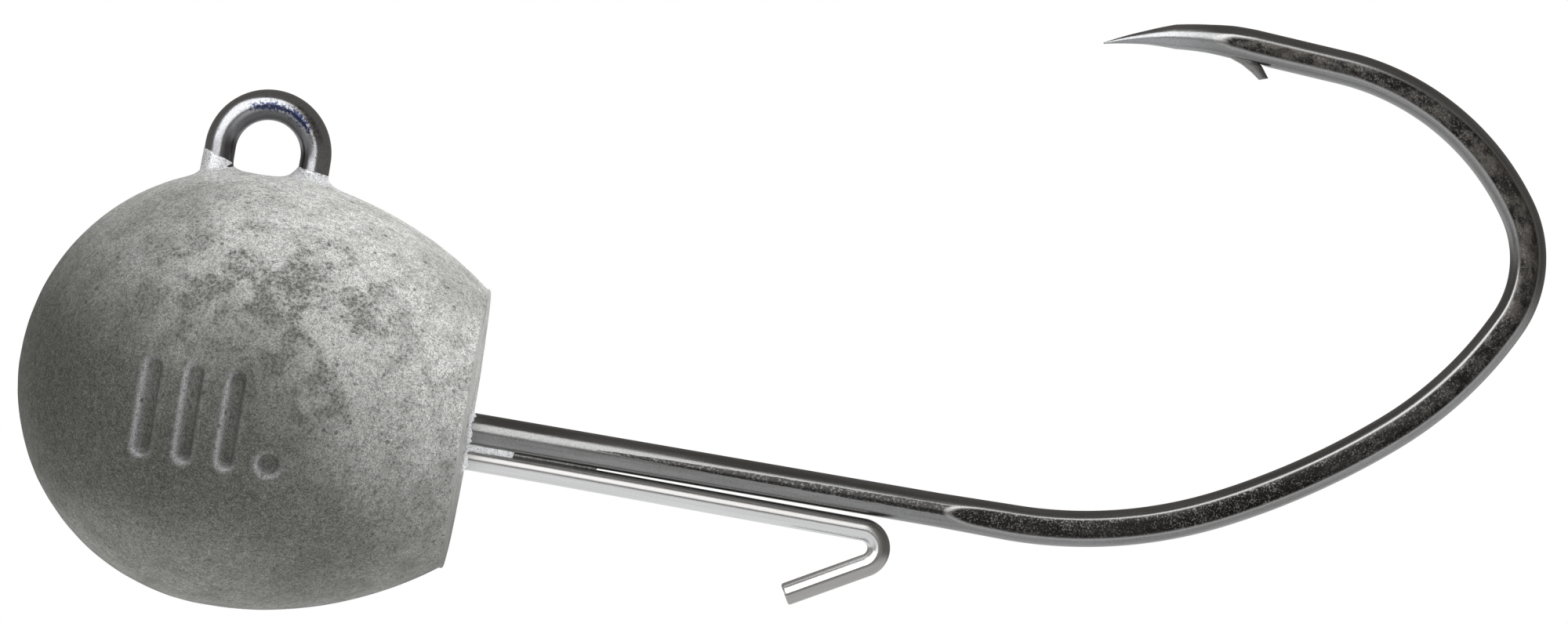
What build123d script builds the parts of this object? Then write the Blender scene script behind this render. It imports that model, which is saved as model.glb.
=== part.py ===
"""Ball jig head: a lead weight cast on a wide-gape hook, with a wire keeper for a soft bait.

The part hangs from its line eye, whose centre is the origin. +X runs along the hook's shank
towards the bend, +Z points to the side of the eye and of the hook's point, and the hook lies
in the XZ plane. Sizes in millimetres. Places along the shank are counted from the centre of
the weight's ball, which the shank's axis passes through.
"""
import os
from math import asin, degrees

from build123d import *

# lead weight: a ball drawn out into an ogive that ends in a flat seat for the bait
head_x = 0.29               # ball centre from the line eye, along the shank
head_z = -7.34              # ball centre from the line eye, upwards
head_radius = 6.75
ogive_radius = 11.7         # arc from the ball's equator back to the seat
seat_x = 7.2                # flat rear face
seat_edge_radius = 0.1
eye_pad_z = 6.65            # small flat on top, where the mould held the eye
collars = [(-1.42, -0.35), (1.46, -0.52)]   # lead drawn up each leg of the eye: place, top
collar_height = 0.75
collar_foot_radius = 0.8
collar_top_radius = 0.53

# hook: one length of round wire, from the closed end of the eye to the point
eye_radius = 1.48           # centre line of the ring
eye_wire = 0.95
eye_side = 0.35             # short straight side, before the ring curls back
eye_curl = 105              # the ring stops just short of its own stem
stem_taper = 4.0            # length over which the eye wire thins
hook_wire = 1.05
elbow_radius = 1.6          # bend between the stem and the shank, inside the lead
swell_x = 21.9              # the wire spreads from here on, where it was pressed flat
shank_end_x = 24.15         # start of the bend
bend_arcs = [(14, 27.2), (24, 13.4), (12, 24.0), (3.5, 60.2)]   # radius and turn
shoulder_radius = 8
shoulder_turn = 51.6
arm_length = 2.8            # straight run between the shoulder and the point
point_radius = 11           # the point turns in towards the shank
point_turn = 24.3
pressed_wire = 1.12         # in the plane of the hook
arm_wire = 1.04
point_sections = [(0, 1.04), (0.15, 1.0), (0.3, 0.88), (0.52, 0.76), (0.72, 0.42), (1, 0.04)]
flats_apart = 0.98          # thickness across the pressed flats
flats_full_x = 23.3         # the flats reach their full depth here
die_edge_radius = 8.6       # they run in along the die's rounded edge
die_edge_turn = 16

# barb: a sliver raised from the inner side of the wire, at the point's root
barb_at = 0.17              # root of the barb, as a fraction of the point's length
barb_length = 1.07
barb_rise = 0.46            # tip of the barb above the wire's surface
barb_bow = 0.06             # its back is a little hollowed towards the wire
barb_end = 0.3              # blunt end, which slopes back to the wire
barb_end_slope = 17.5
barb_width = 0.5
barb_back_height = 0.45     # its back starts here, from the wire's axis
barb_base_height = 0.31     # it is rooted this deep in the wire
barb_foot_x = 0.96          # its underside runs into the wire here, from its root
barb_foot_height = 0.42
notch_x = 0.75              # start of the cut that raised it, from its root
notch_depth = 0.11
notch_length = 0.5

# keeper: a spring wire that runs under the shank and doubles back
keeper_wire = 0.7
keeper_gap = 0.03           # between shank and keeper, where both leave the weight
keeper_lean = 0.47          # further back it leans away from the shank
keeper_lean_x = 9.4         # it starts to lean here, in a long soft bend
keeper_lean_radius = 100
keeper_arm = 9.54           # straight run from there to the hairpin
keeper_root_x = 3.6         # the buried tail turns down here
keeper_tail_radius = 0.9
keeper_tail_turn = 60
keeper_tail = 1.6
keeper_bend_radius = 0.57
keeper_bend_turn = 150
keeper_return = 2.68

# flash: lead squeezed out of the mould between the shank and the keeper
flash_length = 1.55
flash_width = 0.6
flash_height = 0.34

# weight mark, sunk in the side of the ball: a bar for each 5 g, a dot for 1 g
mark_bars = 3
mark_x = -2.2               # first bar
mark_z = -0.85
mark_pitch = 1.3
mark_height = 2.9
mark_stroke = 0.46
mark_depth = 0.24
mark_dot_radius = 0.32

hook_plane = Plane(origin=(head_x, 0, head_z), x_dir=(1, 0, 0), z_dir=(0, -1, 0))
seat_plane = Plane(origin=(head_x + seat_x, 0, head_z), x_dir=(0, 1, 0), z_dir=(1, 0, 0))
shank_axis = Axis((head_x, 0, head_z), (1, 0, 0))
eye_x = -head_x
eye_z = -head_z
stem_x = eye_x + eye_radius
keeper_z = -(hook_wire + keeper_wire) / 2 - keeper_gap


def across(line, position):
    """Plane square to a line of wire, at a fraction of its length."""
    return Plane(origin=line @ position, z_dir=line % position)


def turned_form(inset):
    """The weight's turned form, its whole surface moved in by the inset."""
    with BuildPart() as form:
        with BuildSketch(hook_plane):
            with BuildLine():
                ogive = ogive_radius - inset
                tail_turn = degrees(asin((seat_x - inset) / ogive))
                nose = CenterArc((0, 0), head_radius - inset, 90, 90)
                tail = CenterArc((0, head_radius - ogive_radius), ogive, 90 - tail_turn, tail_turn)
                Polyline(tail @ 0, (seat_x - inset, 0), nose @ 1)
            make_face()
        revolve(axis=shank_axis)
    return form.part


# ------------------------------------------------------------------ lines of the hook's wire
with BuildLine(hook_plane) as ring_line:
    arch = CenterArc((eye_x, eye_z), eye_radius, 0, 180)
    Line(arch @ 1, arch @ 1 + (arch % 1) * eye_side)
    CenterArc((eye_x, eye_z - eye_side), eye_radius, 180, eye_curl)

with BuildLine(hook_plane) as stem_line:
    Line((stem_x, eye_z), (stem_x, eye_z - stem_taper))

with BuildLine(hook_plane) as shank_line:
    stem_foot = Line((stem_x, eye_z - stem_taper), (stem_x, elbow_radius))
    elbow = JernArc(stem_foot @ 1, stem_foot % 1, elbow_radius, 90)
    Line(elbow @ 1, (swell_x, 0))

with BuildLine(hook_plane) as swell_line:
    swell = Line((swell_x, 0), (shank_end_x, 0))

with BuildLine(hook_plane) as bend_line:
    run = swell
    for radius, turn in bend_arcs:
        run = JernArc(run @ 1, run % 1, radius, turn)

with BuildLine(hook_plane) as shoulder_line:
    shoulder = JernArc(run @ 1, run % 1, shoulder_radius, shoulder_turn)

with BuildLine(hook_plane) as arm_line:
    arm = Line(shoulder @ 1, shoulder @ 1 + (shoulder % 1) * arm_length)

with BuildLine(hook_plane) as point_line:
    point = JernArc(arm @ 1, arm % 1, point_radius, point_turn)

# each run of wire: its line, then the diameters at fractions of its length
hook_runs = [
    (ring_line.line, [(0, eye_wire)]),
    (stem_line.line, [(0, eye_wire), (1, hook_wire)]),
    (shank_line.line, [(0, hook_wire)]),
    (swell_line.line, [(0, hook_wire), (1, pressed_wire)]),
    (bend_line.line, [(0, pressed_wire)]),
    (shoulder_line.line, [(0, pressed_wire), (1, arm_wire)]),
    (arm_line.line, [(0, arm_wire)]),
    (point_line.line, point_sections),
]

# ---------------------------------------------------------------------------------- hook
barb_root = point @ barb_at
barb_plane = Plane(origin=barb_root, x_dir=-(point % barb_at), z_dir=(0, 1, 0))
wire_surface = arm_wire / 2
plan = Plane.XY.offset(head_z)
gape_height = 20            # more than the hook's height above its shank
hook_reach = 20             # more than the bend's reach beyond the flats' start

with BuildPart() as hook:
    for line, diameters in hook_runs:
        for position, diameter in diameters:
            with BuildSketch(across(line, position)):
                Circle(diameter / 2)
        sweep(path=line, multisection=len(diameters) > 1)
    # pressed flats on both sides, running in along the die's rounded edge
    with BuildSketch(plan):
        with BuildLine():
            edge_centre = (head_x + flats_full_x, flats_apart / 2 + die_edge_radius)
            edge = CenterArc(edge_centre, die_edge_radius, 270 - die_edge_turn, die_edge_turn)
            face = Line(edge @ 1, edge @ 1 + (hook_reach, 0))
            Polyline(face @ 1, ((face @ 1).X, (edge @ 0).Y), edge @ 0)
        make_face()
        mirror(about=Plane.XZ)
    extrude(amount=gape_height, both=True, mode=Mode.SUBTRACT)
    # the cut that raised the barb, then the barb itself
    with BuildSketch(barb_plane):
        with BuildLine():
            Polyline(
                (notch_x, wire_surface - notch_depth),
                (barb_length, wire_surface - notch_depth),
                (barb_length + notch_length, wire_surface + notch_depth),
                (notch_x, wire_surface + notch_depth),
                close=True,
            )
        make_face()
    extrude(amount=hook_wire, both=True, mode=Mode.SUBTRACT)
    with BuildSketch(barb_plane):
        with BuildLine():
            back = SagittaArc(
                (0, barb_back_height),
                (barb_length, wire_surface + barb_rise),
                -barb_bow,
            )
            tip = PolarLine(back @ 1, barb_end, -barb_end_slope)
            foot = (barb_foot_x, barb_foot_height)
            Polyline(tip @ 1, foot, (0, barb_base_height), back @ 0)
        make_face()
    extrude(amount=barb_width / 2, both=True)

# ---------------------------------------------------------------------------------- keeper
with BuildLine(hook_plane) as keeper_line:
    leg = Line((keeper_root_x, keeper_z), (keeper_lean_x, keeper_z))
    lean = JernArc(leg @ 1, leg % 1, keeper_lean_radius, -keeper_lean)
    far_leg = Line(lean @ 1, lean @ 1 + (lean % 1) * keeper_arm)
    hairpin = JernArc(far_leg @ 1, far_leg % 1, keeper_bend_radius, -keeper_bend_turn)
    Line(hairpin @ 1, hairpin @ 1 + (hairpin % 1) * keeper_return)

with BuildLine(hook_plane) as keeper_tail_line:
    curl = JernArc(leg @ 0, -(leg % 0), keeper_tail_radius, keeper_tail_turn)
    Line(curl @ 1, curl @ 1 + (curl % 1) * keeper_tail)

with BuildPart() as keeper:
    for line in (keeper_line.line, keeper_tail_line.line):
        with BuildSketch(across(line, 0)):
            Circle(keeper_wire / 2)
        sweep(path=line)

# ---------------------------------------------------------------------------------- mark
with BuildPart() as mark:
    with BuildSketch(hook_plane.offset(head_radius)):
        for bar in range(mark_bars):
            with Locations((mark_x + bar * mark_pitch, mark_z)):
                SlotOverall(mark_height, mark_stroke, rotation=90)
        with Locations((mark_x + mark_bars * mark_pitch, mark_z - mark_height / 2 + mark_dot_radius)):
            Circle(mark_dot_radius)
    extrude(amount=-head_radius)
    add(turned_form(mark_depth), mode=Mode.SUBTRACT)

# ---------------------------------------------------------------------------------- head
with BuildPart() as head:
    add(turned_form(0))
    fillet(head.edges().sort_by(Axis.X)[-1], seat_edge_radius)
    # flat pad under the eye, and the lead drawn up round its two legs
    with BuildSketch(hook_plane):
        with Locations((0, eye_pad_z)):
            Rectangle(head_radius, head_radius, align=(Align.CENTER, Align.MIN))
    extrude(amount=head_radius, both=True, mode=Mode.SUBTRACT)
    for leg_x, top_z in collars:
        with Locations((leg_x, 0, top_z)):
            Cone(
                collar_foot_radius,
                collar_top_radius,
                collar_height,
                align=(Align.CENTER, Align.CENTER, Align.MAX),
            )
    with BuildSketch(seat_plane):
        with Locations((0, -(hook_wire + keeper_gap) / 2)):
            Rectangle(flash_width, flash_height)
    extrude(amount=flash_length)
    add(mark.part, mode=Mode.SUBTRACT)
    add(hook.part, mode=Mode.SUBTRACT)
    add(keeper.part, mode=Mode.SUBTRACT)

hook.part.label = "hook"
keeper.part.label = "keeper"
head.part.label = "head"

os.makedirs("parts", exist_ok=True)
export_step(hook.part, "parts/hook.step")
export_step(keeper.part, "parts/keeper.step")
export_step(head.part, "parts/head.step")
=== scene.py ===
"""Looks of the ball jig head: a cast lead weight, its black-nickel hook and a steel keeper wire.

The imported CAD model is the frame. Sizes are in millimetres. Places are counted from the centre
of the weight's ball: x along the shank, y across the hook, z towards the eye. Each mesh is turned
to metres in the row frame as it is made. A pair such as blued_from is where a soft step starts
and ends.
"""
import math

import bmesh
import bpy
import numpy as np
from mathutils import Matrix, Vector, noise


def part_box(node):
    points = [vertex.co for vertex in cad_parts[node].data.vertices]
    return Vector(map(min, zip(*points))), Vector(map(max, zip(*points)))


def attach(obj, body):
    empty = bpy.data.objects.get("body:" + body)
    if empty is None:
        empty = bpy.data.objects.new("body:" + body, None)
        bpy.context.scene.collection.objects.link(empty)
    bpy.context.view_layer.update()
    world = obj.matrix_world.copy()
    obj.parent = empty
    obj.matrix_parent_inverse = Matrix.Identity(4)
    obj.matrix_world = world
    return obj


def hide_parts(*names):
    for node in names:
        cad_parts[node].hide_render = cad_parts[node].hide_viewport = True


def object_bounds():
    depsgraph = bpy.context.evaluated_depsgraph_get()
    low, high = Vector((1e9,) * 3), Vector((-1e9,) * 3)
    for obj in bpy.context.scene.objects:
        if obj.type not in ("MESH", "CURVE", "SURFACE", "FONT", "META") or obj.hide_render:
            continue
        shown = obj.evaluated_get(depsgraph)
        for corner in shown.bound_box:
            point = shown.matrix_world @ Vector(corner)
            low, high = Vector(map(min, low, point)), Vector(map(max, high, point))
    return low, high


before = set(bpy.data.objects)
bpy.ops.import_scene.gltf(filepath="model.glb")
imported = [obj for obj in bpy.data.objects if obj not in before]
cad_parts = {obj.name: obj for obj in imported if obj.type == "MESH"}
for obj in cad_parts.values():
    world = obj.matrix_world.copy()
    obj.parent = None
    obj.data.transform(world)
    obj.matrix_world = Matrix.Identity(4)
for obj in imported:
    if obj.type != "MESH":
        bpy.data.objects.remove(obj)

cad_low, cad_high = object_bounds()
MM = 0.001

# ------------------------------------------------------------------ sizes read from the frame
head_low, head_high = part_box("head")
head_radius = (head_high.y - head_low.y) / 2 / MM
ball_x = head_low.x / MM + head_radius
ball_z = head_low.z / MM + head_radius

# weight
ogive_radius = 11.7
seat_x = 7.2
seat_edge_radius = 0.13
pad_z = 6.65

# eye and hook wire
eye_x = -ball_x
eye_z = -ball_z
eye_radius = 1.48
eye_wire = 0.95
eye_side = 0.35
eye_curl = 105
stem_x = eye_x + eye_radius
left_leg_x = eye_x - eye_radius
stem_taper = 4.0
hook_wire = 1.05
elbow_radius = 1.6
swell_x = 21.9
shank_end_x = 24.15
bend_arcs = [(14, 27.2), (24, 13.4), (12, 24.0), (3.5, 60.2)]
shoulder_radius = 8
shoulder_turn = 51.6
arm_length = 2.8
point_radius = 11
point_turn = 24.3
pressed_wire = 1.12
arm_wire = 1.04
point_sections = [(0, 1.04), (0.15, 1.0), (0.3, 0.88), (0.52, 0.76), (0.72, 0.42), (1, 0.04)]
flats_apart = 0.98
flats_full_x = 23.3
die_edge_radius = 8.6
unpressed = 9.0             # stands for flats further apart than any wire
edge_softness = 0.07        # rounding between a pressed flat and the wire's round sides
flat_clip = (0.006, 0.02)   # a place is on a flat when the die took this much off it
edge_clip = (0.0, 0.004)    # and on a burnished edge when it took this much, and no more
streak_x = (11, 13, 15.5, 22)           # a painted dark reflection along the middle of the shank's side: places
streak_half = (0.01, 0.08, 0.13, 0.19)  # and half widths
streak_height = 0.04
streak_least = 0.02         # no streak where it would be thinner
blued_height = -0.04        # the eye's burnt specks: from the wire's axis, and along the ring
blued_reach = 0.15
blued_from = (4.3, 5.0)
blued_to = (6.1, 7.4)
dulled_from = (5.5, 6.1)    # the scale on its outer side: along the ring, and from the wire's axis
dulled_to = (6.9, 7.4)
dulled_side_from = (-0.12, 0.0)
dulled_side_to = (0.2, 0.32)
eye_fade = 3.0              # the eye's bright finish fades over this length of the stem
bare_shares = (0.2, 0.55)   # the point's bright finish sets in between these shares of its length
smoky_flats = (46.0, 57.0)  # the flats turn from dark to smoky here, along the wire from the eye's end

# barb: places back from its root along the wire, and heights from the wire's axis
barb_at = 0.17
barb_back = [(0, 0.45), (0.5, 0.63), (0.85, 0.83), (1.11, 1.02)]
barb_underside = [(0, 0.31), (0.93, 0.42), (1.13, 0.58), (1.39, 0.93)]
barb_width = 0.46
notch_start = 0.7
notch_ramp = 1.05
notch_end = 1.36
notch_depth = 0.05

# keeper
keeper_wire = 0.7
keeper_gap = 0.03
keeper_root_x = 3.6
keeper_tail_radius = 0.9
keeper_tail_turn = 60
keeper_tail = 1.6
keeper_lean = 0.47
keeper_lean_x = 9.4
keeper_lean_radius = 100
keeper_arm = 9.54
keeper_bend_radius = 0.57
keeper_bend_turn = 150
keeper_return = 2.68
keeper_z = -(hook_wire + keeper_wire) / 2 - keeper_gap

# flash between shank and keeper
flash_length = 1.55
flash_size = (0.6, 0.34)
feather_length = 2.6        # a thin feather further along the crevice, a sheet put there to stand in for the shade between the wires
feather_size = (0.26, 0.075)
flash_slant = 0.03          # of the flash's broken end
flash_uneven = 0.05         # share by which its width wanders

# tally mark, sunk in the side
mark_bars = 3
mark_x = -2.2
mark_z = -0.85
mark_pitch = 1.3
mark_height = 2.9
mark_stroke = 0.46
mark_depth = 0.24
mark_dot_radius = 0.32
mark_lip = (0.13, 0.07, 0.024)  # a low lip round it: its distance, half width and height
mark_wall = (-0.09, 0.05)   # its walls slope from here, inside its outline, to here, outside
mark_rim = (0.03, 0.1)      # the rim that is rubbed bright, with a painted highlight where it faces the light: its distance and half width
rim_rubbed_and_lit = 0.36               # how much it is brightened: rubbed lead and painted highlight

# lead drawn up the legs of the eye: (height, reach) on the leg's inner and on its outer side
left_skirt = ((0.17, 0.14), (0.17, 0.10))
stem_skirt = ((0.45, 0.22), (0.2, 0.22))
# tops of the thin film above it, on those two sides, counted from the pad
left_film = (0.2, 0.53)
stem_film = (0.42, 0.3)
film_foot = 0.5             # the film starts this far under the pad
film_thickness = (0.032, 0.012)  # at its foot and at its top
film_uneven = 0.25          # share by which its thickness wanders
film_ragged = 0.035         # and its top
# lead drawn out along the wires from the seat
wet_height = 0.2
wet_reach = 0.11
# unevenness of the skirts and of that lead: (share, size across, seed)
skirt_uneven = (0.25, 0.3, 3)
wet_uneven = (0.7, 0.16, 5)

# hollows of the casting: (size across, depth), and half the width of the mould's seam
cast_hollows = [(1.9, 0.016), (0.5, 0.006)]
seam_half = 0.05
seam_proud = 0.8            # share of the hollows that the seam fills
seat_smooth = 0.6           # and the seat's face
# wear of the weight: a broad flat low on the nose, and a nick by the seat's edge
worn_place = (-3.2, -0.6, -6.0)
worn_size = 3.6
worn_depth = 0.06
nick_place = (6.93, -4.33, -1.12)
nick_size = (0.2, 0.2, 0.26)
nick_depth = 0.14
# the lead is painted paler with height, counted along a line that leans towards the tail: partly patina,
# partly painted light from above the tail; and paler again underneath: painted light thrown up from the
# floor
patina_and_light_lean = 0.55
patina_and_light_heights = (-2.62, 6.18)
floor_light_heights = (-5.36, -3.26)
# middle of the stains, and the shift that picks the pattern of their patches
stained_place = (1.21, -6.0, 1.94)
stain_shift = (43.0, 17.0, 5.0)
# places darkened: the middle, the reach and how much
darkened_places = [
    ((0.61, -6.6, -0.06), 3.6, 0.6),
    ((-1.99, -6.0, -2.46), 2.8, 0.5),
    ((-5.29, -3.8, -1.86), 3.5, 0.92),
    ((3.11, -3.6, -5.16), 3.4, 0.5),
    ((-2.49, -3.0, 5.54), 2.8, 0.4),
    ((6.01, -2.0, 4.04), 2.6, 0.35),
]


# ------------------------------------------------------------------ helpers for the meshes
def smooth(low, high, value):
    """0 below low, 1 above high and a soft step between."""
    share = np.clip((value - low) / (high - low), 0, 1)
    return share * share * (3 - 2 * share)


def wander(points, size, seed):
    """Smooth random values from -1 to 1 at the points, which change over the given size."""
    shift = Vector((17.3, 5.1, 9.7)) * seed
    return np.array([noise.noise(Vector(p) / size + shift) for p in points])


def uneven(points, share, size, seed):
    """Factors about 1 that wander by the given share."""
    return 1 + share * wander(points, size, seed)


def spread(track, step_at):
    """Points along a dense track, whose neighbours are step_at(points) apart."""
    gaps = np.linalg.norm(np.diff(track, axis=0), axis=1)
    cost = np.concatenate([[0], np.cumsum(gaps / step_at(track[1:]))])
    wanted = np.linspace(0, cost[-1], int(cost[-1]) + 2)
    return np.stack([np.interp(wanted, cost, column) for column in track.T], axis=1)


def ring_faces(rings, around, first=0):
    """Quads of a tube of rings, each with the same number of points."""
    faces = []
    for ring in range(rings - 1):
        start = first + ring * around
        for here in range(around):
            after = (here + 1) % around
            faces.append((start + here, start + after, start + around + after, start + around + here))
    return faces


def to_object(name, points, faces, closed=True):
    """A smooth-shaded object from points in millimetres about the ball's centre."""
    mesh = bpy.data.meshes.new(name)
    placed = (np.asarray(points) + (ball_x, 0, ball_z)) * MM
    mesh.from_pydata(placed.tolist(), [], faces)
    if closed:
        shape = bmesh.new()
        shape.from_mesh(mesh)
        bmesh.ops.recalc_face_normals(shape, faces=shape.faces)
        shape.to_mesh(mesh)
        shape.free()
    mesh.polygons.foreach_set("use_smooth", [True] * len(mesh.polygons))
    mesh.update()
    made = bpy.data.objects.new(name, mesh)
    bpy.context.scene.collection.objects.link(made)
    return made


def give_attribute(piece, name, values):
    """Stores a number or a vector per point for the piece's material."""
    values = np.asarray(values, np.float32)
    kind, field = ("FLOAT", "value") if values.ndim == 1 else ("FLOAT_VECTOR", "vector")
    layer = piece.data.attributes.new(name, kind, "POINT")
    layer.data.foreach_set(field, values.ravel())


def full_turn(around):
    """Angles of evenly spaced points once round, in radians."""
    return np.linspace(0, 2 * math.pi, around, endpoint=False)


def rounded_square(around, squareness):
    """Sideways and upward shares, from -1 to 1, of points round a square with soft corners."""
    side, up = np.cos(full_turn(around)), np.sin(full_turn(around))
    return np.sign(side) * np.abs(side) ** squareness, np.sign(up) * np.abs(up) ** squareness


class WireLine:
    """Centre line of a wire in the hook's plane: straight runs and arcs, end to end.

    Each run is (distance where it starts, curvature, x, z, heading).
    """

    def __init__(self, x, z, heading):
        self.runs = []
        self.x, self.z, self.heading = x, z, math.radians(heading)
        self.length = 0.0

    def _add(self, length, curve):
        self.runs.append((self.length, curve, self.x, self.z, self.heading))
        self.x, self.z, self.heading = self._along(self.runs[-1], length)
        self.length += length

    def _along(self, run, distance):
        _, curve, x, z, heading = run
        turned = heading + curve * distance
        if abs(curve) < 1e-9:
            return x + math.cos(heading) * distance, z + math.sin(heading) * distance, heading
        x += (math.sin(turned) - math.sin(heading)) / curve
        z -= (math.cos(turned) - math.cos(heading)) / curve
        return x, z, turned

    def straight(self, length):
        """Adds a straight run."""
        self._add(length, 0.0)

    def arc(self, radius, turn):
        """Adds an arc; a positive turn, in degrees, is anticlockwise as seen along +Y."""
        angle = math.radians(turn)
        self._add(radius * abs(angle), math.copysign(1 / radius, angle))

    def at(self, distance):
        """(x, z, heading) at a distance from the line's start."""
        run = next(r for r in reversed(self.runs) if distance >= r[0] or r[0] == 0)
        return self._along(run, distance - run[0])


def stations(length, step, fine_step, fine):
    """Distances along a wire, closer together within the (start, end) spans of fine."""
    probe = 0.01
    track = np.linspace(0, length, int(length / probe))[:, None]

    def step_at(here):
        chosen = np.full(len(here), step)
        for start, end in fine:
            chosen[(here[:, 0] > start) & (here[:, 0] < end)] = fine_step
        return chosen

    return spread(track, step_at)[:, 0]


def wire_points(line, distances, section):
    """Points of a swept wire: section(distance, x) gives (across the plane, in the plane)."""
    points = []
    straight = []
    for distance in distances:
        x, z, heading = line.at(distance)
        across, within = section(distance, x)
        points.append(np.stack([
            x - math.sin(heading) * within,
            across,
            z + math.cos(heading) * within,
        ], axis=1))
        straight.append(np.stack([np.full(len(across), distance), across, within], axis=1))
    return np.concatenate(points), np.concatenate(straight)


def capped_tube(rings, around):
    """Faces of a tube with both ends closed."""
    faces = ring_faces(rings, around)
    faces.append(tuple(reversed(range(around))))
    last = (rings - 1) * around
    faces.append(tuple(range(last, last + around)))
    return faces


# ------------------------------------------------------------------ weight
# spacing of its points along the outline, in millimetres
coarse_step = 0.11
fine_step = 0.055
mark_step = 0.046
rim_step = 0.03
mark_zone = (-2.55, 2.05)   # along the shank: the mark and both legs of the eye
seat_edge_zone = 0.7        # finer points over this length before the seat's edge
seat_rim_radius = 3.9       # the finest are outside this radius of the seat
seat_fine_radius = 1.6      # about the wires that leave the seat
# and round it, in degrees from the marked side: the mark, and the legs of the eye
coarse_turn = 1.6
fine_turns = [((-23, 8), 0.4), ((81, 99), 0.5)]


def weight_outline():
    """Outline of the weight from its nose to the middle of its seat: (along, radius)."""
    nose_angles = np.radians(np.linspace(180, 90, 1400))
    nose = head_radius * np.stack([np.cos(nose_angles), np.sin(nose_angles)], axis=1)
    drop = ogive_radius - head_radius
    tail_x = np.linspace(0, seat_x - seat_edge_radius, 900)[1:]
    tail = np.stack([tail_x, np.sqrt(ogive_radius**2 - tail_x**2) - drop], axis=1)
    lean = math.asin((seat_x - seat_edge_radius) / ogive_radius)
    edge_turn = np.linspace(math.pi / 2 - lean, 0, 20)[1:]
    edge_middle = tail[-1] - seat_edge_radius * np.array([math.sin(lean), math.cos(lean)])
    edge = edge_middle + seat_edge_radius * np.stack([np.cos(edge_turn), np.sin(edge_turn)], axis=1)
    edge[:, 0] += seat_x - edge[-1, 0]
    seat_r = np.linspace(edge[-1, 1], 0, 500)[1:]
    seat = np.stack([np.full(len(seat_r), seat_x), seat_r], axis=1)
    return np.concatenate([nose, tail, edge, seat])


def outline_step(here):
    """Spacing of the outline's points."""
    step = np.full(len(here), coarse_step)
    step[(here[:, 0] > mark_zone[0]) & (here[:, 0] < mark_zone[1])] = mark_step
    step[here[:, 0] > seat_x - seat_edge_zone] = fine_step
    on_seat = here[:, 0] > seat_x - seat_edge_radius * 1.2
    step[on_seat & (here[:, 1] > seat_rim_radius)] = rim_step
    step[on_seat & (here[:, 1] < seat_fine_radius)] = fine_step
    return step


def turn_step(here):
    """Spacing of the turned form's meridians, in degrees round from the marked side."""
    step = np.full(len(here), coarse_turn)
    for (start, end), fine in fine_turns:
        step[(here[:, 0] > start) & (here[:, 0] < end)] = fine
    return step


def mark_outside(x, z):
    """Distance outside the tally mark's outline, at places on the weight's side."""
    outside = np.full(len(x), np.inf)
    half_run = (mark_height - mark_stroke) / 2
    for bar in range(mark_bars):
        beyond = np.maximum(np.abs(z - mark_z) - half_run, 0)
        outside = np.minimum(outside, np.hypot(x - mark_x - bar * mark_pitch, beyond) - mark_stroke / 2)
    dot_x = mark_x + mark_bars * mark_pitch
    dot_z = mark_z - mark_height / 2 + mark_dot_radius
    return np.minimum(outside, np.hypot(x - dot_x, z - dot_z) - mark_dot_radius)


def mark_cut(outside):
    """Depth of the tally mark, with a low raised lip round it."""
    distance, half_width, height = mark_lip
    lip = height * np.exp(-(((outside - distance) / half_width) ** 2))
    return mark_depth * (1 - smooth(*mark_wall, outside)) - lip


def skirt_rise(points, leg_x, inner, outer):
    """Height of the lead skirt about one leg of the eye; inner and outer are (height, reach)."""
    away = np.hypot(points[:, 0] - leg_x, points[:, 1])
    facing = (points[:, 0] - leg_x) / np.maximum(away, 1e-6) * np.sign(eye_x - leg_x)
    share = (1 + facing) / 2
    height = outer[0] + (inner[0] - outer[0]) * share
    reach = outer[1] + (inner[1] - outer[1]) * share
    gap = np.maximum(away - eye_wire / 2, 0)
    return height * uneven(points, *skirt_uneven) * np.exp(-gap / reach)


def turned_form():
    """The weight as turned, row by row from nose to seat: points, outward directions, row length."""
    outline = spread(weight_outline(), outline_step)
    tangent = np.gradient(outline, axis=0)
    tangent /= np.linalg.norm(tangent, axis=1, keepdims=True)
    turns = np.radians(spread(np.linspace(-180, 180, 3600)[:, None], turn_step)[:-1, 0])
    around = len(turns)
    x, radius = np.repeat(outline[1:-1], around, axis=0).T
    out_r, out_x = np.repeat(tangent[1:-1] * (1, -1), around, axis=0).T
    turn = np.tile(turns, len(outline) - 2)
    points = np.stack([x, -radius * np.cos(turn), radius * np.sin(turn)], axis=1)
    outward = np.stack([out_x, -out_r * np.cos(turn), out_r * np.sin(turn)], axis=1)
    return points, outward, around


def casting_sunk(points, on_seat):
    """How far the casting lies below its turned form: hollows, the worn flat and the nick."""
    sunk = np.zeros(len(points))
    for seed, (size, depth) in enumerate(cast_hollows, start=1):
        sunk += depth * (1 + wander(points, size, seed))
    seam = np.exp(-((points[:, 1] / seam_half) ** 2)) * (1 - on_seat)
    sunk *= (1 - seam_proud * seam) * (1 - seat_smooth * on_seat)
    worn = np.linalg.norm(points - worn_place, axis=1)
    sunk += worn_depth * np.exp(-((worn / worn_size) ** 2))
    nick = np.linalg.norm((points - nick_place) / nick_size, axis=1)
    return sunk + nick_depth * (1 - smooth(0.3, 1.0, nick))


def sink_mark(points, sunk, bare_and_highlit):
    """Sinks the tally mark, and paints its lower left rim bright: rubbed lead, brightest where the rim
    faces the light, a painted highlight.
    """
    here = points[:, 1] < -head_radius / 2
    x, z = points[here, 0], points[here, 2]
    outside = mark_outside(x, z)
    sunk[here] += mark_cut(outside)
    # the slope of that distance says which way each place of the rim faces; the lower left side, whose wall
    # faces the light, gets a painted highlight
    probe = 0.02
    right = (mark_outside(x + probe, z) - outside) / probe
    above = (mark_outside(x, z + probe) - outside) / probe
    lower_left = 0.5 - 0.35 * (right + above)
    distance, half_width = mark_rim
    bare_and_highlit[here] = rim_rubbed_and_lit * lower_left * np.exp(-(((outside - distance) / half_width) ** 2))


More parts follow.
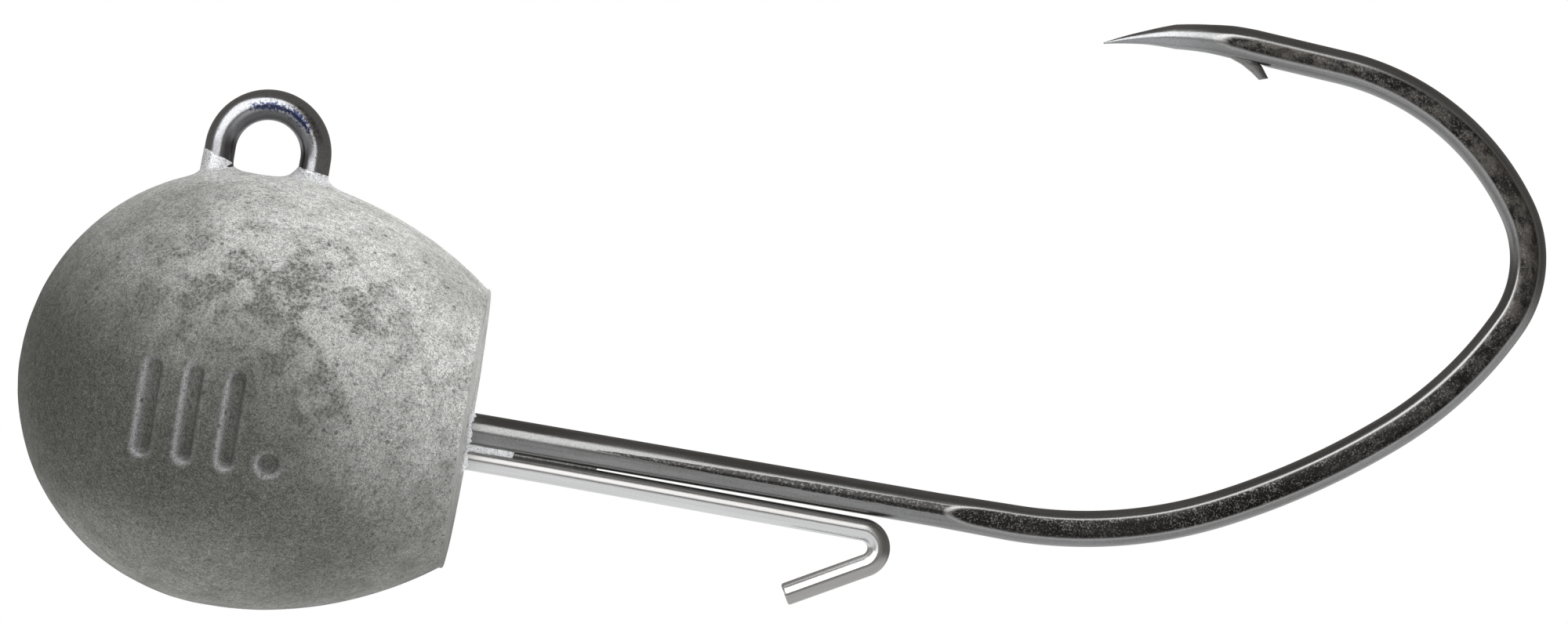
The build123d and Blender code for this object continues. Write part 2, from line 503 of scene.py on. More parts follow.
def raise_skirts(points, bare_and_highlit):
    """Draws the lead up round the legs of the eye."""
    on_top = points[:, 2] > pad_z - 1.6
    rise = np.maximum(
        skirt_rise(points[on_top], left_leg_x, *left_skirt),
        skirt_rise(points[on_top], stem_x, *stem_skirt),
    )
    points[on_top, 2] += rise
    bare_and_highlit[on_top] = smooth(0.02, 0.2, rise)


def draw_out_seat(points, bare_and_highlit, at_seat):
    """Draws the lead out a little along the wires where they leave the seat."""
    y, z = points[at_seat, 1], points[at_seat, 2]
    from_shank = np.maximum(np.hypot(y, z) - hook_wire / 2, 0)
    from_keeper = np.maximum(np.hypot(y, z - keeper_z) - keeper_wire / 2, 0)
    wet = np.exp(-np.minimum(from_shank, from_keeper) / wet_reach)
    points[at_seat, 0] += wet_height * wet * uneven(points[at_seat], *wet_uneven)
    bare_and_highlit[at_seat] = np.maximum(bare_and_highlit[at_seat], smooth(0.2, 0.7, wet))


def make_head():
    """The cast weight, with its mark, its seat and the lead drawn up the eye's legs."""
    points, outward, around = turned_form()
    points[:, 2] = np.minimum(points[:, 2], pad_z)
    on_seat = smooth(seat_x - 0.3, seat_x - 0.05, points[:, 0])
    bare_and_highlit = np.zeros(len(points))
    sunk = casting_sunk(points, on_seat)
    sink_mark(points, sunk, bare_and_highlit)
    points -= outward * sunk[:, None]
    raise_skirts(points, bare_and_highlit)
    draw_out_seat(points, bare_and_highlit, on_seat > 0.5)

    count = len(points)
    last = count - around
    faces = ring_faces(count // around, around)
    for here in range(around):
        after = (here + 1) % around
        faces.append((here, count, after))
        faces.append((last + here, last + after, count + 1))
    nose_sunk = 0.02
    ends = [[nose_sunk - head_radius, 0, 0], [seat_x, 0, 0]]
    made = to_object("head_cast", np.concatenate([points, ends]), faces)
    give_attribute(made, "bare_and_highlit", np.concatenate([bare_and_highlit, [0, 0]]))
    return made


def make_film(name, leg_x, inner_top, outer_top, seed):
    """The thin film of lead that climbed one leg of the eye; the tops are counted from the pad."""
    rings = 14
    around = 72
    turns = full_turn(around)

    def ring(radius, height):
        return np.stack([leg_x + radius * np.cos(turns), radius * np.sin(turns), height], axis=1)

    circle = np.stack([np.cos(turns), np.sin(turns), np.zeros(around)], axis=1)
    ragged = wander(circle, 0.35, seed)
    inner_share = (1 + np.cos(turns) * math.copysign(1, eye_x - leg_x)) / 2
    top = pad_z + outer_top + (inner_top - outer_top) * inner_share + film_ragged * ragged
    foot = np.full(around, pad_z - film_foot)
    at_foot, at_top = film_thickness
    points = []
    for climb in np.linspace(0, 1, rings):
        thickness = (at_foot + (at_top - at_foot) * climb**2) * (1 + film_uneven * ragged)
        points.append(ring(eye_wire / 2 + thickness, foot + (top - foot) * climb))
    # the film's own inner side lies just inside the wire
    inside_wire = eye_wire / 2 - 0.02
    points.append(ring(inside_wire, top - 0.01))
    points.append(ring(inside_wire, foot))
    faces = ring_faces(rings + 2, around)
    last = (rings + 1) * around
    for here in range(around):
        after = (here + 1) % around
        faces.append((last + here, last + after, after, here))
    points = np.concatenate(points)
    made = to_object(name, points, faces)
    give_attribute(made, "bare_and_highlit", np.ones(len(points)))
    return made


def make_flash(name, start, end, size, thinning, bare_and_highlit):
    """A fin of lead squeezed out of the mould between the shank and the keeper; also the thin feather that
    fills the crevice and stands in for the shade there.

    It gets narrower by the share thinning, and bare_and_highlit is 1 for bare lead.
    """
    rings = 26
    around = 28
    middle_z = -(hook_wire + keeper_gap) / 2
    side, up = rounded_square(around, 0.55)
    points = []
    for share in np.linspace(0, 1, rings):
        points.append(np.stack([
            start + (end - start + flash_slant * up) * share,
            side * size[0] / 2 * (1 - thinning * share),
            middle_z + up * size[1] / 2,
        ], axis=1))
    points = np.concatenate(points)
    points[:, 1] *= 1 - flash_uneven * (1 + wander(points, 0.2, 7))
    made = to_object(name, points, capped_tube(rings, around))
    give_attribute(made, "bare_and_highlit", np.full(len(points), bare_and_highlit))
    return made


# ------------------------------------------------------------------ hook
# spacing of its sections along the wire
hook_step = 0.1
hook_fine_step = 0.045
barb_zone = 2.2             # finer sections from this far before the barb's root to the point


def hook_line():
    """The hook's centre line from the closed end of the eye to the point, with its key places."""
    start = math.radians(180 + eye_curl)
    line = WireLine(
        eye_x + eye_radius * math.cos(start),
        eye_z - eye_side + eye_radius * math.sin(start),
        90 + eye_curl,
    )
    line.arc(eye_radius, -eye_curl)
    line.straight(eye_side)
    line.arc(eye_radius, -180)
    places = {"stem": line.length}
    line.straight(eye_z - elbow_radius)
    line.arc(elbow_radius, 90)
    line.straight(swell_x - stem_x - elbow_radius)
    places["swell"] = line.length
    line.straight(shank_end_x - swell_x)
    places["bend"] = line.length
    for radius, turn in bend_arcs:
        line.arc(radius, turn)
    places["shoulder"] = line.length
    line.arc(shoulder_radius, shoulder_turn)
    places["arm"] = line.length
    line.straight(arm_length)
    places["point"] = line.length
    line.arc(point_radius, point_turn)
    return line, places


def hook_widths(line, places):
    """Places along the hook and the wire's width there, before it was pressed."""
    point_length = line.length - places["point"]
    keys = [
        (0, eye_wire),
        (places["stem"], eye_wire),
        (places["stem"] + stem_taper, hook_wire),
        (places["swell"], hook_wire),
        (places["bend"], pressed_wire),
        (places["shoulder"], pressed_wire),
        (places["arm"], arm_wire),
    ]
    keys += [(places["point"] + share * point_length, width) for share, width in point_sections]
    return np.array(keys)


def flats_half(x):
    """Half the distance between the pressed flats at a place along the shank."""
    short = max(flats_full_x - x, 0.0)
    if short >= die_edge_radius:
        return unpressed
    return flats_apart / 2 + die_edge_radius - math.sqrt(die_edge_radius**2 - short**2)


def notch_cut(back):
    """Depth of the cut that raised the barb, at a distance back from the barb's root."""
    places = (notch_start, notch_start + 0.05, notch_ramp, notch_end)
    return notch_depth * np.interp(back, places, (0, 1, 1, 0))


def make_hook():
    """The hook: eye, stem, shank, pressed bend and point, swept in one piece."""
    line, places = hook_line()
    keys = hook_widths(line, places)
    places["round"] = places["stem"] + stem_taper
    places["barb"] = places["point"] + barb_at * (line.length - places["point"])
    around = 96
    turns = full_turn(around)
    flats_start = places["bend"] - shank_end_x + flats_full_x - die_edge_radius * 0.3
    tip = 0.002                 # blunts the point
    distances = stations(line.length - tip, hook_step, hook_fine_step, [
        (0, places["stem"]),
        (flats_start, places["bend"]),
        (places["barb"] - barb_zone, line.length),
    ])
    clipped = []

    def section(distance, x):
        half = np.interp(distance, keys[:, 0], keys[:, 1]) / 2
        across = half * np.sin(turns)
        within = half * np.cos(turns)
        limit = flats_half(x) if distance > places["round"] else unpressed
        near = np.maximum(edge_softness - np.abs(np.abs(across) - limit), 0) / edge_softness
        flat = np.minimum(np.abs(across), limit) - near**2 * edge_softness / 4
        clipped.append(np.abs(across) - flat)
        within = np.minimum(within, half - notch_cut(places["barb"] - distance))
        return np.copysign(flat, across), within

    points, straight = wire_points(line, distances, section)
    made = to_object("hook_wire", points, capped_tube(len(distances), around))
    give_attribute(made, "straight", straight)
    finishes = hook_finishes(points, straight, np.concatenate(clipped), line, places)
    for name, share in finishes.items():
        give_attribute(made, name, share)
    return made, line, places["barb"], list(finishes)


def hook_finishes(points, straight, clipped, line, places):
    """Shares, from 0 to 1, of each finish, and of the painted dark reflection along the shank, at the
    hook's points.
    """
    along, _, side = straight.T
    pressed = smooth(*flat_clip, clipped)
    # the painted dark reflection runs along the middle of the shank's side
    half_streak = np.interp(points[:, 0], streak_x, streak_half)
    streak = 1 - smooth(0.5, 1.3, np.abs(side - streak_height) / half_streak)
    on_shank = (along > places["round"]) & (points[:, 0] < flats_full_x)
    blued = np.exp(-(((side - blued_height) / blued_reach) ** 2))
    dulled = smooth(*dulled_side_from, side) * (1 - smooth(*dulled_side_to, side))
    bare_from, bare_to = places["point"] + (line.length - places["point"]) * np.array(bare_shares)
    return {
        "pressed": pressed,
        "burnished": smooth(*edge_clip, clipped) * (1 - pressed),
        "at_eye": 1 - smooth(places["stem"], places["stem"] + eye_fade, along),
        "reflection_streak": streak * (on_shank & (half_streak > streak_least)),
        "blued": blued * smooth(*blued_from, along) * (1 - smooth(*blued_to, along)),
        "dulled": dulled * smooth(*dulled_from, along) * (1 - smooth(*dulled_to, along)),
        "at_point": smooth(bare_from, bare_to, along),
    }


def make_barb(line, barb_root, finishes):
    """The barb: a sliver raised from the wire's inner side, with a blunt sheared end."""
    rings = 26
    around = 28
    x, z, heading = line.at(barb_root)
    back = np.array([-math.cos(heading), -math.sin(heading)])
    inward = np.array([-math.sin(heading), math.cos(heading)])
    side, up = rounded_square(around, 0.7)
    points = []
    straight = []
    for share in np.linspace(0, 1, rings):
        high = point_along(barb_back, share)
        low = point_along(barb_underside, share)
        wide = barb_width / 2 * (1 - 0.2 * share**2)
        for across, rise in zip(side * wide, up):
            along, height = (high + low) / 2 + (high - low) / 2 * rise
            place = np.array([x, z]) + back * along + inward * height
            points.append((place[0], across, place[1]))
            straight.append((barb_root - along, across, height))
    made = to_object("hook_barb", points, capped_tube(rings, around))
    give_attribute(made, "straight", straight)
    for name in finishes:
        give_attribute(made, name, np.zeros(len(points)))
    return made


def point_along(corners, share):
    """The point at a share of the way through a list of corners."""
    numbers = np.arange(len(corners))
    return np.array([np.interp(share * numbers[-1], numbers, column) for column in zip(*corners)])


# ------------------------------------------------------------------ keeper
# spacing of its sections along the wire
keeper_step = 0.12
keeper_fine_step = 0.04
keeper_end_zone = 0.3       # finer sections from this far before the hairpin and the cut end,
hairpin_zone = 1.71         # and this far round the hairpin
keeper_end_radius = 0.05    # rounding of the cut end


def make_keeper():
    """The keeper: a drawn spring wire with its tail in the lead and a hairpin end."""
    turn = math.radians(keeper_tail_turn)
    line = WireLine(
        keeper_root_x - keeper_tail_radius * math.sin(turn) - keeper_tail * math.cos(turn),
        keeper_z - keeper_tail_radius * (1 - math.cos(turn)) - keeper_tail * math.sin(turn),
        keeper_tail_turn,
    )
    line.straight(keeper_tail)
    line.arc(keeper_tail_radius, -keeper_tail_turn)
    line.straight(keeper_lean_x - keeper_root_x)
    line.arc(keeper_lean_radius, -keeper_lean)
    line.straight(keeper_arm)
    hairpin = line.length
    line.arc(keeper_bend_radius, -keeper_bend_turn)
    line.straight(keeper_return)
    around = 48
    turns = full_turn(around)
    distances = stations(line.length, keeper_step, keeper_fine_step, [
        (hairpin - keeper_end_zone, hairpin + hairpin_zone),
        (line.length - keeper_end_zone, line.length),
    ])

    def section(distance, _):
        at_end = smooth(line.length - keeper_end_radius, line.length, distance)
        half = keeper_wire / 2 - keeper_end_radius * at_end
        return half * np.sin(turns), half * np.cos(turns)

    points, straight = wire_points(line, distances, section)
    made = to_object("keeper_wire", points, capped_tube(len(distances), around))
    give_attribute(made, "straight", straight)
    return made


# ------------------------------------------------------------------ materials
class Nodes:
    """Builds a node tree one node at a time."""

    def __init__(self, tree):
        self.tree = tree

    def add(self, kind, inputs=None, **settings):
        """Adds a node. An input is a number, a colour or another node's socket."""
        node = self.tree.nodes.new(kind)
        for name, value in settings.items():
            setattr(node, name, value)
        for name, value in (inputs or {}).items():
            self.feed(node.inputs[name], value)
        return node

    def feed(self, socket, value):
        """Links a socket to another, or sets it."""
        if isinstance(value, bpy.types.NodeSocket):
            self.tree.links.new(value, socket)
        else:
            socket.default_value = value

    def stored_value(self, name):
        """A number stored per point of the mesh."""
        return self.add("ShaderNodeAttribute", attribute_name=name).outputs["Fac"]

    def stored_vector(self, name):
        """A vector stored per point of the mesh."""
        return self.add("ShaderNodeAttribute", attribute_name=name).outputs["Vector"]

    def axis(self, vector, name):
        """One axis of a vector."""
        return self.add("ShaderNodeSeparateXYZ", {"Vector": vector}).outputs[name]

    def scaled(self, vector, x, y, z):
        """A vector with its axes scaled."""
        inputs = {"Vector": vector, "Scale": (x, y, z)}
        return self.add("ShaderNodeMapping", inputs).outputs["Vector"]

    def moved(self, vector, shift):
        """A vector with a shift added."""
        node = self.add("ShaderNodeVectorMath", {0: vector, 1: shift}, operation="ADD")
        return node.outputs["Vector"]

    def distance(self, vector, place):
        """Distance from a place."""
        node = self.add("ShaderNodeVectorMath", {0: vector, 1: place}, operation="DISTANCE")
        return node.outputs["Value"]

    def grain(self, vector, scale, detail=5.0, roughness=0.6, distortion=0.0):
        """Fractal noise from 0 to 1."""
        inputs = {"Vector": vector, "Scale": scale, "Detail": detail}
        inputs.update({"Roughness": roughness, "Distortion": distortion})
        return self.add("ShaderNodeTexNoise", inputs).outputs["Fac"]

    def cells(self, vector, scale):
        """Distance to the nearest of many scattered points."""
        return self.add("ShaderNodeTexVoronoi", {"Vector": vector, "Scale": scale}).outputs["Distance"]

    def stretch(self, value, low, high, to_low=0.0, to_high=1.0, easing="SMOOTHSTEP"):
        """The value's range from low to high, spread over another."""
        inputs = {"Value": value, "From Min": low, "From Max": high}
        inputs.update({"To Min": to_low, "To Max": to_high})
        return self.add("ShaderNodeMapRange", inputs, interpolation_type=easing).outputs["Result"]

    def maths(self, operation, a, b=0.0):
        """Arithmetic on one or two values."""
        return self.add("ShaderNodeMath", {0: a, 1: b}, operation=operation).outputs["Value"]

    def plus(self, a, b):
        """Sum of two values."""
        return self.maths("ADD", a, b)

    def minus(self, a, b):
        """Difference of two values."""
        return self.maths("SUBTRACT", a, b)

    def times(self, a, b):
        """Product of two values."""
        return self.maths("MULTIPLY", a, b)

    def blend(self, share, first, second, blend_type="MIX"):
        """Mixes two colours."""
        node = self.add("ShaderNodeMix", data_type="RGBA", blend_type=blend_type)
        self.feed(node.inputs["Factor"], share)
        for socket, value in zip([s for s in node.inputs if s.type == "RGBA"], (first, second)):
            self.feed(socket, value)
        return [s for s in node.outputs if s.type == "RGBA"][0]

    def shade(self, colour, factor):
        """A colour made darker or paler by a factor."""
        return self.blend(1.0, colour, factor, "MULTIPLY")

    def bump(self, height, strength, distance, under=None):
        """A relief of the surface; distance is in millimetres."""
        inputs = {"Height": height, "Strength": strength, "Distance": distance * MM}
        if under is not None:
            inputs["Normal"] = under
        return self.add("ShaderNodeBump", inputs).outputs["Normal"]


class Recipe(Nodes):
    """A material on the principled shader."""

    def __init__(self, name):
        self.material = bpy.data.materials.new(name)
        self.material.use_nodes = True
        super().__init__(self.material.node_tree)
        self.surface = self.tree.nodes["Principled BSDF"]

    def finish(self, inputs):
        """Feeds the surface shader and returns the material."""
        for name, value in inputs.items():
            self.feed(self.surface.inputs[name], value)
        return self.material


def grey(value, warmth=0.0):
    """A grey, a little warm or, below 0, a little blue."""
    return (value * (1 + warmth), value, value * (1 - warmth), 1)


def lead_patina_and_light(made, place, clouds):
    """Colour of old lead, with painted light and shade: paler towards the tail and the top, partly patina
    and partly painted light; darker low on the nose, partly patina and partly painted shade; paler
    underneath in painted light from the floor; and darker at some places.
    """
    nose_patina_shaded = (0.10, 0.102, 0.089, 1)
    tail_patina_lit = (0.552, 0.553, 0.538, 1)
    floor_lit_lead = (0.42, 0.422, 0.398, 1)
    darkened_lead = (0.068, 0.07, 0.058, 1)
    height = made.axis(place, "Z")
    rise = made.plus(height, made.times(made.axis(place, "X"), patina_and_light_lean))
    rise = made.plus(rise, made.stretch(clouds, 0.3, 0.7, -0.5, 0.5))
    # painted light and shade, partly patina: lit towards the tail and the top, shaded low on the nose
    body = made.blend(made.stretch(rise, *patina_and_light_heights), nose_patina_shaded, tail_patina_lit)
    # painted light thrown up from the floor onto the underside
    body = made.blend(made.stretch(height, *floor_light_heights, 0.3, 0.0), body, floor_lit_lead)
    for spot, reach, share in darkened_places:
        near = made.stretch(made.distance(place, spot), reach, 0.0, 0.0, share)
        body = made.blend(near, body, darkened_lead)
    return body


def lead_material():
    """Dull cast lead, mottled and stained, with bare lead where it set against the wires, painted light and
    shade across the weight, and a painted highlight on the lower left rim of the mark.
    """
    stain = (0.112, 0.117, 0.099, 1)
    pepper = (0.06, 0.062, 0.054, 1)
    bare_lead_and_highlight = (0.93, 0.94, 0.97, 1)
    bare_hollow = (0.25, 0.26, 0.27, 1)
    made = Recipe("cast_lead")
    # patterns are drawn in the row frame's millimetres, and places are counted from the ball
    row = made.add("ShaderNodeTexCoord").outputs["Object"]
    pattern = made.scaled(row, 1 / MM, 1 / MM, 1 / MM)
    place = made.moved(pattern, (-ball_x, 0, -ball_z))
    bare_and_highlit = made.stored_value("bare_and_highlit")
    clouds = made.grain(pattern, 0.45, 4.0, 0.55)
    patches = made.grain(made.moved(pattern, stain_shift), 0.95, 5.0, 0.6, 0.5)
    blots = made.grain(pattern, 6.0, 7.0, 0.78)
    specks = made.grain(pattern, 10.0, 5.0, 0.75)
    powder = made.grain(pattern, 13.0, 4.0, 0.8)
    salt = made.grain(pattern, 22.0, 4.0, 0.75)
    body = lead_patina_and_light(made, place, clouds)
    body = made.shade(body, made.stretch(blots, 0.32, 0.68, 0.62, 1.4))
    # stains of small specks, gathered in patches
    gathered = made.stretch(patches, 0.38, 0.62, -0.06, 0.06)
    near_middle = made.stretch(made.distance(place, stained_place), 1.5, 5.5, 0.05, -0.02)
    ragged = made.stretch(salt, 0.25, 0.75, -0.07, 0.07)
    ragged = made.plus(ragged, made.plus(gathered, near_middle))
    body = made.blend(made.stretch(made.plus(blots, ragged), 0.555, 0.625, 0.0, 0.72), body, stain)
    body = made.blend(made.stretch(made.plus(specks, ragged), 0.58, 0.65, 0.0, 0.8), body, pepper)
    # pale dust, and the fine salt and pepper of a cast face
    body = made.blend(made.stretch(powder, 0.50, 0.64, 0.0, 0.17), body, grey(0.5))
    body = made.shade(body, made.stretch(salt, 0.32, 0.68, 0.45, 1.65))
    # bare lead, and the painted highlight on the mark's rim
    bright = made.blend(made.stretch(specks, 0.54, 0.64), bare_lead_and_highlight, bare_hollow)
    bright = made.shade(bright, made.stretch(salt, 0.35, 0.58, 0.55, 1.2))
    body = made.blend(bare_and_highlit, body, bright)
    # small pits, where the clouds let them
    pits = made.stretch(made.cells(pattern, 1.7), 0.16, 0.07)
    pits = made.times(pits, made.stretch(clouds, 0.42, 0.55))
    body = made.blend(made.times(pits, 0.7), body, grey(0.06, 0.03))
    relief = made.bump(blots, 0.3, 0.03)
    relief = made.bump(specks, 0.35, 0.018, relief)
    relief = made.bump(salt, 0.4, 0.009, relief)
    relief = made.bump(pits, -0.6, 0.05, relief)
    rough = made.stretch(patches, 0.3, 0.7, 0.52, 0.68)
    return made.finish({
        "Base Color": body,
        "Metallic": made.plus(made.times(bare_and_highlit, 0.2), 0.15),
        "Roughness": made.minus(rough, made.times(bare_and_highlit, 0.15)),
        "Specular IOR Level": 0.35,
        "Normal": relief,
    })


def pressed_nickel(made, wire, smoke, blots):
    """Colour of the pressed flats: dark, with fine pale grains that gather here and there."""
    pale = made.grain(wire, 18.0, 4.0, 0.7)
    grains = made.stretch(made.plus(pale, made.times(blots, 0.35)), 0.68, 0.86)
    flat = made.blend(grains, grey(0.013, 0.02), grey(0.2, 0.03))
    flat = made.blend(made.stretch(smoke, 0.45, 0.7, 0.0, 0.6), flat, grey(0.045, 0.08))
    toward_arm = made.stretch(made.axis(wire, "X"), *smoky_flats, 0.0, 0.6)
    smoky = made.times(toward_arm, made.stretch(blots, 0.4, 0.62))
    return made.blend(smoky, flat, grey(0.12, 0.08))


def eye_nickel(made, wire, blots, specks):
    """Colour of the eye: bright, with painted shade on the inside of the ring, dull with scale at one
    place, and burnt blue along its front.
    """
    outer = (0.33, 0.335, 0.35, 1)
    inner = (0.17, 0.17, 0.18, 1)
    dull = (0.10, 0.095, 0.088, 1)
    blue = (0.012, 0.02, 0.075, 1)
    # the inner side of the ring is a darker copy of the nickel: painted shade
    eye = made.blend(made.stretch(made.axis(wire, "Z"), -0.08, -0.22), outer, inner)
    scale = made.times(made.stored_value("dulled"), made.stretch(specks, 0.40, 0.56, 0.35, 0.9))
    eye = made.blend(scale, eye, dull)
    burnt = made.plus(specks, made.times(blots, 0.4))
    burnt = made.plus(burnt, made.times(made.stored_value("blued"), 0.25))
    return made.blend(made.stretch(burnt, 0.80, 0.90, 0.0, 0.9), eye, blue)


def nickel_material():
    """Black nickel on drawn wire: smoky streaks, speckled pressed flats, a bright eye and point, and a
    painted dark reflection along the shank's middle.
    """
    made = Recipe("black_nickel")
    wire = made.stored_vector("straight")
    pressed = made.stored_value("pressed")
    at_eye = made.stored_value("at_eye")
    streaks = made.grain(made.scaled(wire, 0.16, 2.6, 2.6), 1.6, 6.0, 0.62)
    smoke = made.grain(made.scaled(wire, 0.3, 1.0, 1.0), 0.9, 4.0, 0.6)
    blots = made.grain(made.scaled(wire, 0.6, 1.0, 1.0), 3.2, 6.0, 0.7)
    specks = made.grain(wire, 11.0, 5.0, 0.75)
    grit = made.grain(wire, 26.0, 3.0, 0.65)
    body = made.blend(made.stretch(streaks, 0.3, 0.7), grey(0.18, 0.01), grey(0.26, -0.01))
    # dark smuts in blots, with a painted dark reflection along the middle of the round shank
    smut_and_streak = made.plus(made.times(blots, 0.5), made.times(made.stored_value("reflection_streak"), 0.5))
    smut_and_reflection = made.times(made.stretch(smut_and_streak, 0.5, 0.6), made.stretch(specks, 0.36, 0.5, 0.45, 1.0))
    body = made.blend(smut_and_reflection, body, grey(0.035, 0.02))
    body = made.blend(made.stored_value("burnished"), body, grey(0.32))
    body = made.blend(pressed, body, pressed_nickel(made, wire, smoke, blots))
    body = made.blend(at_eye, body, eye_nickel(made, wire, blots, specks))
    body = made.blend(made.stored_value("at_point"), body, grey(0.32, -0.02))
    body = made.shade(body, made.stretch(grit, 0.3, 0.7, 0.85, 1.15))
    rough = made.stretch(streaks, 0.3, 0.7, 0.18, 0.3)
    rough = made.plus(rough, made.times(pressed, 0.08))
    rough = made.minus(rough, made.times(at_eye, 0.03))
    relief = made.bump(specks, 0.15, 0.008)
    relief = made.bump(grit, 0.15, 0.004, relief)
    return made.finish({
        "Base Color": body,
        "Metallic": 1.0,
        "Roughness": rough,
        "Normal": relief,
    })


def steel_material():
    """Bright drawn spring wire with fine lines along it, painted shade on its upper side that dims its
    sheen, and a painted dark reflection along its middle.
    """
    made = Recipe("spring_steel")
    wire = made.stored_vector("straight")
    side = made.axis(wire, "Z")
    lines = made.grain(made.scaled(wire, 0.08, 5.0, 5.0), 1.5, 6.0, 0.65)
    specks = made.grain(wire, 12.0, 4.0, 0.6)
    line_share = made.stretch(lines, 0.3, 0.7)
    lower = made.blend(line_share, grey(0.60), grey(0.72, -0.01))
    # the upper side is a darker copy of the steel: painted shade where the shank hangs over it
    upper_shaded = made.blend(line_share, grey(0.31, 0.02), grey(0.42, 0.01))
    body = made.blend(made.stretch(side, -0.03, 0.03), lower, upper_shaded)
    # a painted dark reflection along the middle of the wire
    reflection_line = made.stretch(made.maths("ABSOLUTE", side), 0.035, 0.012, 0.0, 0.7)
    body = made.blend(reflection_line, body, grey(0.08, 0.02))
    body = made.blend(made.stretch(specks, 0.6, 0.8, 0.0, 0.3), body, grey(0.5, 0.03))
    return made.finish({
        "Base Color": body,
        "Metallic": 0.95,
        "Roughness": made.stretch(lines, 0.3, 0.7, 0.2, 0.32),
        "Normal": made.bump(lines, 0.2, 0.008),
    })


# ------------------------------------------------------------------ pieces
def place_piece(piece, material, slot, *nodes):
    """Gives a piece its finish, and lets it ride and stand for CAD nodes."""
    piece.data.materials.append(material)
    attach(piece, "root")
    if nodes:
        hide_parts(*nodes)


def make_pieces():
    """Makes every piece and its finish."""
    lead = lead_material()
    nickel = nickel_material()
    steel = steel_material()
    place_piece(make_head(), lead, "lead", "head")
    flash_end = seat_x + flash_length
    flash = make_flash("mould_flash", seat_x - 0.2, flash_end, flash_size, thinning=0.12, bare_and_highlit=1.0)
    place_piece(flash, lead, "lead")
    # the feather is a sheet that fills the crevice and stands in for the shade between shank and keeper
    feather_end = flash_end + feather_length
    feather_start = flash_end - 0.1
    feather = make_flash("crevice_shade_feather", feather_start, feather_end, feather_size, thinning=0.6, bare_and_highlit=0.0)
    place_piece(feather, lead, "lead")
    place_piece(make_film("lead_film_front", left_leg_x, *left_film, seed=11), lead, "lead")
    place_piece(make_film("lead_film_rear", stem_x, *stem_film, seed=12), lead, "lead")
    hook, line, barb_root, finishes = make_hook()
    place_piece(hook, nickel, "black_nickel", "hook")
    place_piece(make_barb(line, barb_root, finishes), nickel, "black_nickel")
    place_piece(make_keeper(), steel, "spring_wire", "keeper")


# ------------------------------------------------------------------ stage
floor_drop = 16.0           # floor below the lowest point of the hanging jig
floor_radius = 160.0
floor_clear = 0.45          # share of the floor's radius that is fully there
# soft boxes: azimuth to the right of the camera's side, elevation, (width, height) and radiance
light_distance = 0.40       # in metres, as are the boxes' sizes
sheen_box = (-25, 25, (0.46, 0.37), 2.8)
side_box = (54, 44, (0.34, 0.34), 2.6)
top_box = (0, 82, (0.30, 0.30), 2.6)
# the world's brightness below and above; heights and depths are those of a direction of length 1
glow_below = 0.95
glow_above = 0.21
glow_heights = (-0.42, -0.02)
backdrop_glow = 1.0         # the backdrop's own, for matt surfaces
backdrop_depths = (0.0, 0.35)
warm_tint = (1.07, 1.0, 0.93, 1)
warm_heights = (-0.3, 0.0)


def make_floor():
    """A pale round floor that fades out towards its rim."""
    rings = 12
    around = 64
    middle_x = (cad_low.x + cad_high.x) / 2
    floor_z = cad_low.z - floor_drop * MM
    x, z = middle_x / MM - ball_x, floor_z / MM - ball_z
    points = [(x, 0, z)]
    for radius in np.linspace(0, floor_radius, rings + 1)[1:]:
        for turn in full_turn(around):
            points.append((x + radius * math.cos(turn), radius * math.sin(turn), z))
    # every face looks up
    faces = [tuple(reversed(face)) for face in ring_faces(rings, around, first=1)]
    for here in range(around):
        faces.append((0, 1 + here, 1 + (here + 1) % around))
    floor = to_object("floor", points, faces, closed=False)
    made = Recipe("pale_floor")
    place = made.add("ShaderNodeTexCoord").outputs["Object"]
    away = made.distance(place, (middle_x, 0, floor_z))
    edge = made.stretch(away, floor_radius * floor_clear * MM, floor_radius * MM, 1.0, 0.0)
    tone = made.blend(made.grain(place, 40.0), grey(0.80), grey(0.84))
    floor.data.materials.append(made.finish({"Base Color": tone, "Roughness": 0.9, "Alpha": edge}))
    floor.visible_glossy = False     # the world below the jig stands in for it in the wires


def make_world():
    """A white backdrop that also lights the matt lead, and dim surroundings for the wires' sheen."""
    world = bpy.data.worlds.new("studio")
    world.use_nodes = True
    bpy.context.scene.world = world
    world.node_tree.nodes.clear()
    made = Nodes(world.node_tree)
    direction = made.add("ShaderNodeTexCoord").outputs["Generated"]
    rays = made.add("ShaderNodeLightPath").outputs
    height = made.axis(direction, "Z")
    # a pale floor all round, dim above, and a backdrop behind for the matt surfaces
    glow = made.stretch(height, *glow_heights, glow_below, glow_above)
    depth = made.axis(direction, "Y")
    behind = made.stretch(depth, *backdrop_depths, 0.0, backdrop_glow, "LINEAR")
    glow = made.plus(glow, made.times(behind, rays["Is Diffuse Ray"]))
    seen = made.maths("MAXIMUM", glow, rays["Is Camera Ray"])
    # the dim part is a little warm in the wires
    warmth = made.stretch(height, *warm_heights, easing="LINEAR")
    tint = made.blend(made.times(warmth, rays["Is Glossy Ray"]), grey(1.0), warm_tint)
    background = made.add("ShaderNodeBackground", {"Color": tint, "Strength": seen})
    made.add("ShaderNodeOutputWorld", {"Surface": background.outputs["Background"]})


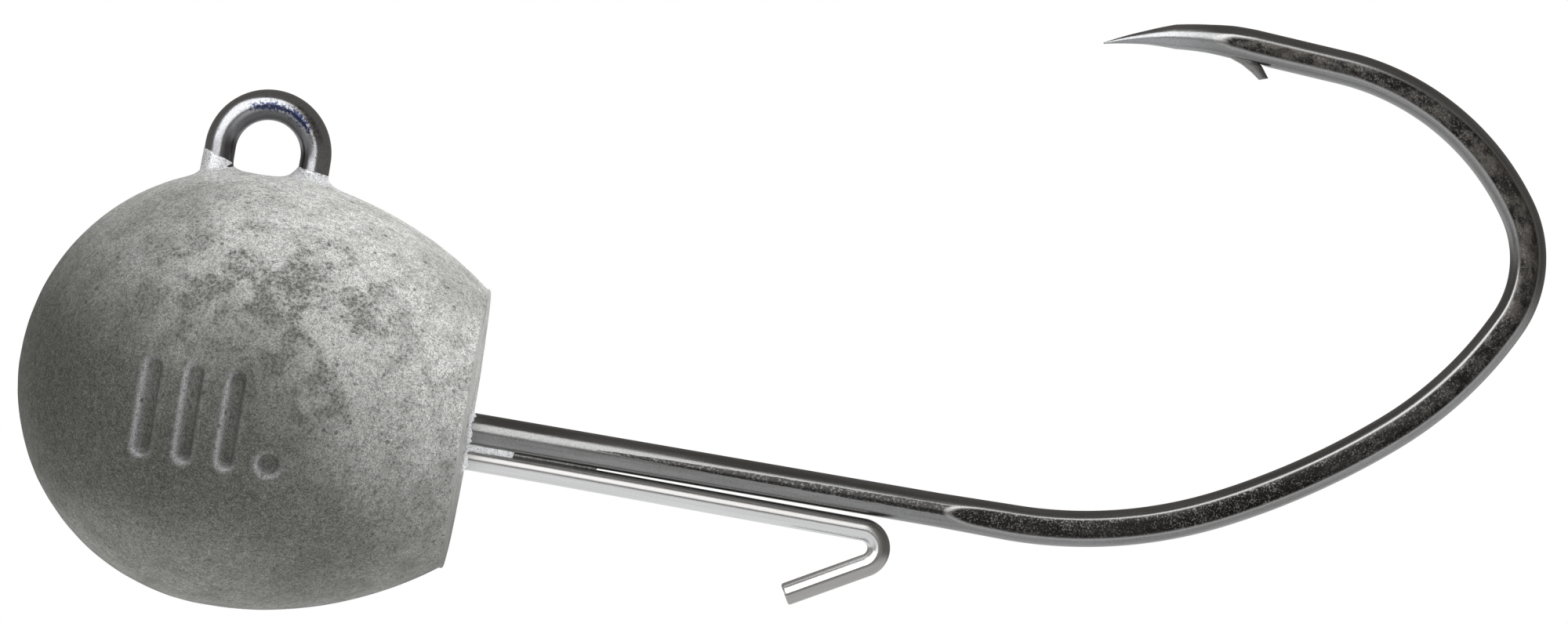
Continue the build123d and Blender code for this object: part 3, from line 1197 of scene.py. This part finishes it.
def soft_light(name, azimuth, elevation, size, radiance):
    """A soft box aimed at the jig. Azimuth is from the camera's side, to the right."""
    light = bpy.data.lights.new(name, "AREA")
    light.shape = "RECTANGLE"
    light.size, light.size_y = size
    light.energy = radiance * math.pi * light.size * light.size_y
    turn, lift = math.radians(azimuth), math.radians(elevation)
    away = Vector((math.sin(turn) * math.cos(lift), -math.cos(turn) * math.cos(lift), math.sin(lift)))
    made = bpy.data.objects.new(name, light)
    made.location = (cad_low + cad_high) / 2 + away * light_distance
    made.rotation_euler = away.to_track_quat("Z", "Y").to_euler()
    made.visible_camera = False
    bpy.context.scene.collection.objects.link(made)
    return made


# ------------------------------------------------------------------ camera
hang_tilt = 9.78            # the picture is turned so that the shank runs down to the right
object_share = 0.9748       # of the picture's width
aim_right = 0.06            # the camera's aim, from the middle of the object's projection
aim_above = 0.175
lens = 200.0
sensor = 36.0


def make_camera():
    """A long lens square to the hook's plane."""
    turn = math.radians(hang_tilt)
    right = Vector((math.cos(turn), 0, math.sin(turn)))
    up = Vector((-math.sin(turn), 0, math.cos(turn)))
    corners = [v.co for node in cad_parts.values() for v in node.data.vertices]
    over = [right.dot(c) for c in corners]
    high = [up.dot(c) for c in corners]
    width = (max(over) - min(over)) / object_share
    target = right * ((max(over) + min(over)) / 2 + aim_right * MM)
    target += up * ((max(high) + min(high)) / 2 + aim_above * MM)
    camera = bpy.data.cameras.new("camera")
    camera.lens = lens
    camera.sensor_width = sensor
    camera.clip_start = 0.01
    made = bpy.data.objects.new("camera", camera)
    back = Vector((0, -1, 0))
    basis = Matrix((right, up, back)).transposed().to_4x4()
    made.matrix_world = Matrix.Translation(target + back * width * lens / sensor) @ basis
    bpy.context.scene.collection.objects.link(made)
    bpy.context.scene.camera = made


make_pieces()
make_floor()
make_world()
# the sheen on the wires comes from one box, and the light on the matt lead from the others
soft_light("sheen", *sheen_box).visible_diffuse = False
soft_light("side", *side_box).visible_glossy = False
soft_light("top", *top_box).visible_glossy = False
make_camera()
bpy.context.scene.view_settings.view_transform = "Standard"
